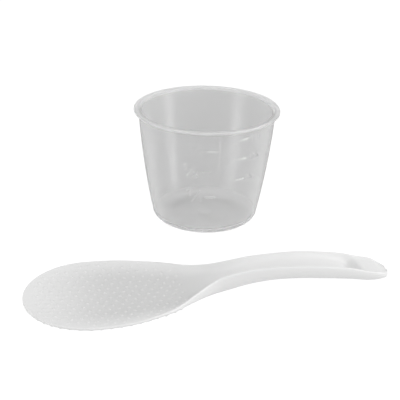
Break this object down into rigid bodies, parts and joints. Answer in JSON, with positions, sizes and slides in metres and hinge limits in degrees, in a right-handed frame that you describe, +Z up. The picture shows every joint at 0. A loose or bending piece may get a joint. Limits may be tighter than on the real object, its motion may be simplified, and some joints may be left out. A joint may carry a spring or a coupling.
{
  "type": "rice cooker accessory set",
  "caption": "Translucent tapered measuring cup with a rim flange and raised level marks, and a white serving paddle with a dotted scoop blade and an arched trough handle.",
  "frame": {"origin": "centre of the cup's base, on the table", "axes": "+Z up along the cup's axis; +X along the paddle from the blade's tip to the handle's end; the paddle lies on the -Y side of the cup"},
  "size_m": [0.174, 0.1533, 0.0605],
  "materials": {
    "cup_plastic": "frosted translucent polypropylene with a satin sheen",
    "paddle_plastic": "white moulded polypropylene, satin"
  },
  "bodies": {
    "cup": {"measuring_cup": "cup_plastic"},
    "paddle": {"rice_paddle": "paddle_plastic"}
  },
  "joints": [
    {"name": "paddle_lift", "type": "slide", "parent": "cup", "child": "paddle", "axis": [0, 0, 1], "range_m": [0, 0.08]}
  ]
}
